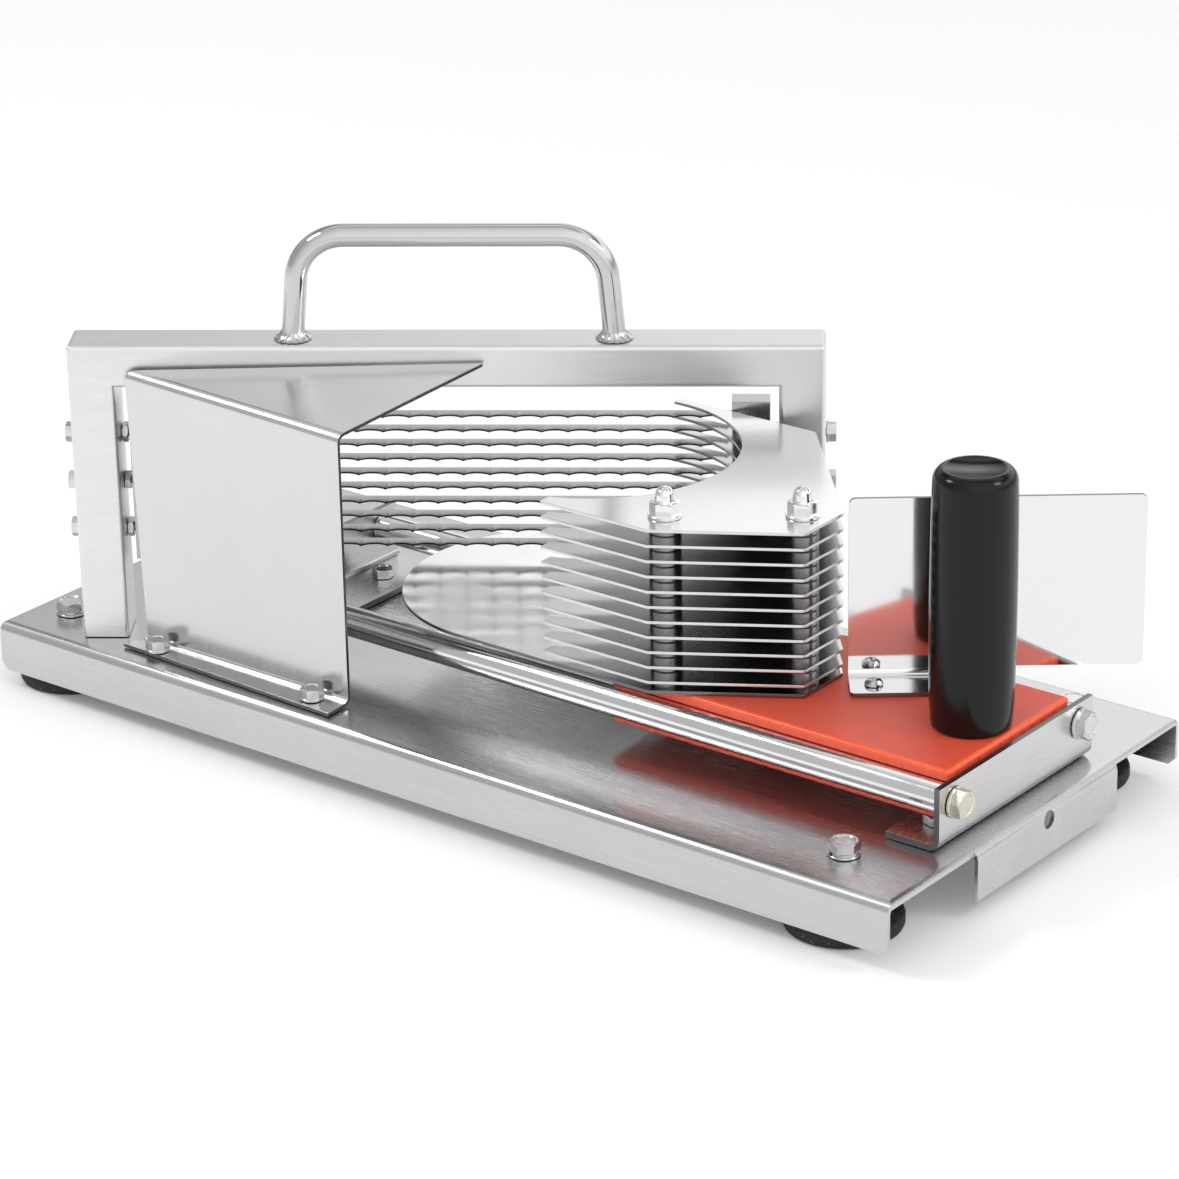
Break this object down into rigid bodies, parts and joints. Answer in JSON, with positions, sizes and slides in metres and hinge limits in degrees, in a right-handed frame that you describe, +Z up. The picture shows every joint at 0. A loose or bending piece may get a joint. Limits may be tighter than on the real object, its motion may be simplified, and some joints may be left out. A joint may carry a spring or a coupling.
{
  "type": "manual tomato slicer",
  "caption": "Manual horizontal slicer: a slotted pusher on two guide rods presses a tomato through a diagonal stack of serrated blades held in a steel frame.",
  "frame": {"origin": "under the middle of the base, on the plane of the feet", "axes": "+X along the base towards the grip, +Y away from the front guard, +Z up"},
  "size_m": [0.437, 0.1985, 0.1956],
  "materials": {
    "brushed_steel": "brushed",
    "polished_steel": "polished",
    "blade_steel": "ground",
    "plated_fasteners": "zinc plated",
    "chrome": "polished",
    "red_polyethylene": "fine cross-hatched",
    "black_grip": "gloss",
    "black_rubber": "matt"
  },
  "bodies": {
    "slicer": {"base_tray": "brushed_steel", "foot_front_left": "black_rubber", "foot_front_right": "black_rubber", "foot_back_left": "black_rubber", "foot_back_right": "black_rubber", "foot_bolt_front_left": "plated_fasteners", "foot_bolt_front_right": "plated_fasteners", "foot_bolt_back_left": "plated_fasteners", "foot_bolt_back_right": "plated_fasteners", "blade_frame": "brushed_steel", "carrying_handle": "polished_steel", "front_guard": "brushed_steel", "guard_bolt_left": "plated_fasteners", "guard_bolt_right": "plated_fasteners", "blade_holder_left": "brushed_steel", "blade_holder_right": "brushed_steel", "tension_bolt_left_1": "plated_fasteners", "tension_bolt_left_2": "plated_fasteners", "tension_bolt_left_3": "plated_fasteners", "tension_bolt_right_1": "plated_fasteners", "tension_bolt_right_2": "plated_fasteners", "tension_bolt_right_3": "plated_fasteners", "blade_01": "blade_steel", "blade_02": "blade_steel", "blade_03": "blade_steel", "blade_04": "blade_steel", "blade_05": "blade_steel", "blade_06": "blade_steel", "blade_07": "blade_steel", "blade_08": "blade_steel", "blade_09": "blade_steel", "blade_10": "blade_steel", "guide_rod_near": "polished_steel", "guide_rod_far": "polished_steel", "front_bracket": "brushed_steel", "rear_bracket": "brushed_steel", "rod_bolt_front_near": "plated_fasteners", "rod_bolt_front_far": "plated_fasteners", "rod_bolt_rear_near": "plated_fasteners", "rod_bolt_rear_far": "plated_fasteners", "bracket_bolt_front": "plated_fasteners", "bracket_bolt_rear": "plated_fasteners"},
    "carriage": {"slide_block": "red_polyethylene", "pusher_tray": "polished_steel", "pusher_plate_01": "brushed_steel", "pusher_plate_02": "brushed_steel", "pusher_plate_03": "brushed_steel", "pusher_plate_04": "brushed_steel", "pusher_plate_05": "brushed_steel", "pusher_plate_06": "brushed_steel", "pusher_plate_07": "brushed_steel", "pusher_plate_08": "brushed_steel", "pusher_plate_09": "brushed_steel", "pusher_plate_10": "brushed_steel", "pusher_plate_11": "brushed_steel", "stack_bolt_near": "chrome", "stack_bolt_far": "chrome", "grip": "black_grip", "hand_guard": "polished_steel", "hand_guard_screw": "plated_fasteners"}
  },
  "joints": [
    {"name": "carriage_slide", "type": "slide", "parent": "slicer", "child": "carriage", "axis": [-1, 0, 0], "range_m": [0, 0.175]}
  ]
}
